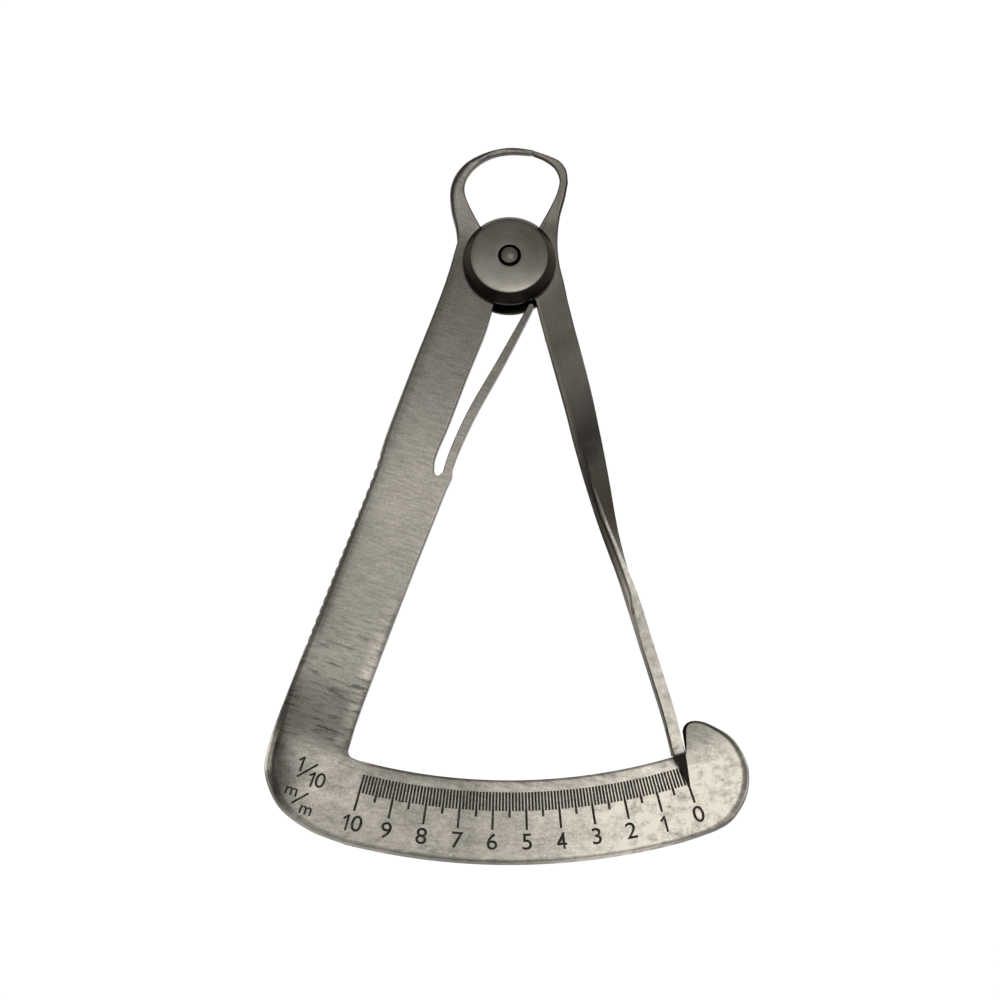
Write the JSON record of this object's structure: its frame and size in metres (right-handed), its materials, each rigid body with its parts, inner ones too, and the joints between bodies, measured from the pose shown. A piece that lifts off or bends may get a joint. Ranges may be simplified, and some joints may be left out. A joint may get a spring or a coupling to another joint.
{
  "type": "diamond gauge",
  "caption": "Hand thickness gauge for cut stones: curved jaws on a riveted pivot, a twisted swinging arm with a pointer, a spring tongue and a quadrant scale.",
  "frame": {"origin": "on the pivot's axis, in the flat back end of the rivet and of the rear cap", "axes": "+X to the right and +Y to the jaws, both seen from the front, +Z from the back of the gauge to its front, along the pivot's axis"},
  "size_m": [0.0722, 0.1135, 0.0069],
  "materials": {
    "frame_steel": "cross-brushed, matte on the scale, black-filled divisions",
    "arm_steel": "drawn lengthways, ground bright along the strip",
    "cap_steel": "turned and worn satin",
    "rivet_steel": "dark hammered and polished head",
    "washer_steel": "dark oiled"
  },
  "bodies": {
    "frame": {"frame_plate": "frame_steel", "front_cap": "cap_steel", "rear_cap": "cap_steel", "pivot_rivet": "rivet_steel", "front_washer": "washer_steel", "rear_washer": "washer_steel"},
    "arm": {"swing_arm": "arm_steel"},
    "tongue": {"spring_tongue": "frame_steel"}
  },
  "joints": [
    {"name": "arm_swing", "type": "hinge", "parent": "frame", "child": "arm", "pos_m": [0, 0, 0.0023], "axis": [0, 0, -1], "range_deg": [0, 32.7], "stiffness_Nm_per_rad": 0.05, "springref_deg": -11.46},
    {"name": "tongue_flex", "type": "hinge", "parent": "frame", "child": "tongue", "pos_m": [-0.0096, -0.03439, 0.0023], "axis": [0, 0, 1], "range_deg": [0, 8.3]}
  ],
  "couplings": [
    {"joint": "tongue_flex", "follows": "arm_swing", "ratio": 0.25}
  ]
}
